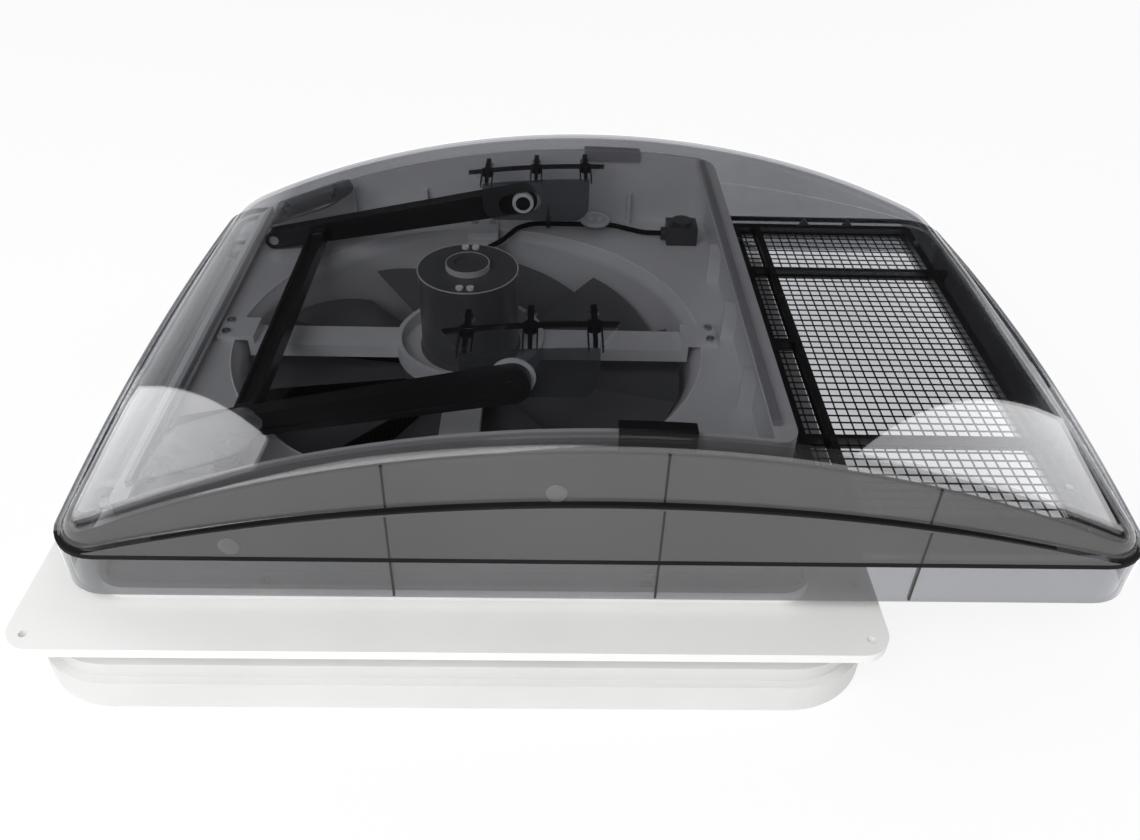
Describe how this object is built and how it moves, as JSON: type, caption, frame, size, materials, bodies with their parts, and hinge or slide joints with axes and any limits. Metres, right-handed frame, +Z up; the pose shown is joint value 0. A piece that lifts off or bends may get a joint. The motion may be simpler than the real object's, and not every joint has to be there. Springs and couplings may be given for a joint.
{
  "type": "caravan roof vent",
  "caption": "Square caravan roof vent with a ducted fan under an overhanging smoked lid that tilts open on two geared arms, with a ceiling trim, insect screen and push buttons.",
  "frame": {"origin": "centre of the roof opening on the roof's outer skin, which is the underside of the mounting flange and the middle of its four screw holes", "axes": "+X towards the lid's overhanging outlet end, +Y away from the front face, +Z up"},
  "size_m": [0.6126, 0.47, 0.1604],
  "materials": {
    "white_plastic": "fine satin moulded white",
    "housing_plastic": "satin moulded off-white",
    "smoke": "polished smoked acrylic",
    "black_plastic": "satin black",
    "grey_plastic": "satin dark grey",
    "clear_plastic": "natural nylon",
    "rubber": "matt soft rubber",
    "steel": "bright zinc",
    "brass": "yellow passivated",
    "motor_black": "semi-gloss black",
    "board": "lacquered circuit board"
  },
  "bodies": {
    "base": {"roof_flange": "white_plastic", "ceiling_trim": "white_plastic", "inner_panel": "white_plastic", "clamp_screws": "steel", "base_housing": "housing_plastic", "base_screws": "steel", "rim_seals": "rubber", "rest_pads": "rubber", "motor_spider": "housing_plastic", "spider_screws": "steel", "motor_can": "motor_black", "motor_cap": "motor_black", "motor_screws": "brass", "motor_cable": "black_plastic", "cable_tie": "black_plastic", "cable_clip": "clear_plastic", "cable_gland": "grey_plastic", "screen_ring": "grey_plastic", "screen_net": "black_plastic", "control_bezel": "white_plastic", "control_board": "board"},
    "lid": {"lid_dome": "smoke", "lid_band": "smoke", "lid_gasket": "rubber", "lid_corner_plates": "black_plastic", "plate_screws": "steel", "grille_frame": "black_plastic", "grille_mesh": "black_plastic", "grille_screws": "steel", "front_bracket": "black_plastic", "rear_bracket": "black_plastic", "bracket_screws": "steel", "hinge_pins": "steel"},
    "lift": {"front_arm": "black_plastic", "rear_arm": "black_plastic", "crossbar": "black_plastic", "slide_bushes": "white_plastic", "pivot_pins": "steel", "lift_sector": "white_plastic"},
    "worm": {"worm_shaft": "steel", "lift_knob": "white_plastic"},
    "fan": {"fan_rotor": "grey_plastic", "fan_shaft": "steel", "fan_nut": "steel"},
    "latch_right": {"screen_latch_1": "white_plastic"},
    "latch_rear": {"screen_latch_2": "white_plastic"},
    "latch_left": {"screen_latch_3": "white_plastic"},
    "latch_front": {"screen_latch_4": "white_plastic"},
    "button_fan": {"fan_button": "grey_plastic"},
    "button_speed": {"speed_button": "grey_plastic"},
    "button_lid": {"lid_button": "grey_plastic"},
    "button_mode": {"mode_button": "grey_plastic"}
  },
  "joints": [
    {"name": "lid_hinge", "type": "hinge", "parent": "base", "child": "lid", "pos_m": [-0.199, 0, 0.034], "axis": [0, -1, 0], "range_deg": [0, 20]},
    {"name": "lift_pivot", "type": "hinge", "parent": "base", "child": "lift", "pos_m": [-0.162, 0, 0.06003], "axis": [0, -1, 0], "range_deg": [0, 24.6]},
    {"name": "worm_turn", "type": "hinge", "parent": "base", "child": "worm", "pos_m": [-0.13, -0.145, 0], "axis": [0, 0, -1], "range_deg": [0, 1002]},
    {"name": "fan_spin", "type": "hinge", "parent": "base", "child": "fan", "pos_m": [-0.004, 0, 0.022], "axis": [0, 0, 1], "continuous": true},
    {"name": "latch_right_turn", "type": "hinge", "parent": "base", "child": "latch_right", "pos_m": [0.172, 0, -0.0355], "axis": [0, 0, 1], "range_deg": [0, 90]},
    {"name": "latch_rear_turn", "type": "hinge", "parent": "base", "child": "latch_rear", "pos_m": [-0.004, 0.176, -0.0355], "axis": [0, 0, 1], "range_deg": [0, 90]},
    {"name": "latch_left_turn", "type": "hinge", "parent": "base", "child": "latch_left", "pos_m": [-0.18, 0, -0.0355], "axis": [0, 0, 1], "range_deg": [0, 90]},
    {"name": "latch_front_turn", "type": "hinge", "parent": "base", "child": "latch_front", "pos_m": [-0.004, -0.176, -0.0355], "axis": [0, 0, 1], "range_deg": [0, 90]},
    {"name": "fan_press", "type": "slide", "parent": "base", "child": "button_fan", "axis": [0, 0, 1], "range_m": [0, 0.0015], "stiffness_N_per_m": 300, "springref_m": -0.001},
    {"name": "speed_press", "type": "slide", "parent": "base", "child": "button_speed", "axis": [0, 0, 1], "range_m": [0, 0.0015], "stiffness_N_per_m": 300, "springref_m": -0.001},
    {"name": "lid_press", "type": "slide", "parent": "base", "child": "button_lid", "axis": [0, 0, 1], "range_m": [0, 0.0015], "stiffness_N_per_m": 300, "springref_m": -0.001},
    {"name": "mode_press", "type": "slide", "parent": "base", "child": "button_mode", "axis": [0, 0, 1], "range_m": [0, 0.0015], "stiffness_N_per_m": 300, "springref_m": -0.001}
  ],
  "couplings": [
    {"joint": "lift_pivot", "follows": "lid_hinge", "ratio": 1.2245},
    {"joint": "worm_turn", "follows": "lid_hinge", "ratio": 50.01}
  ]
}
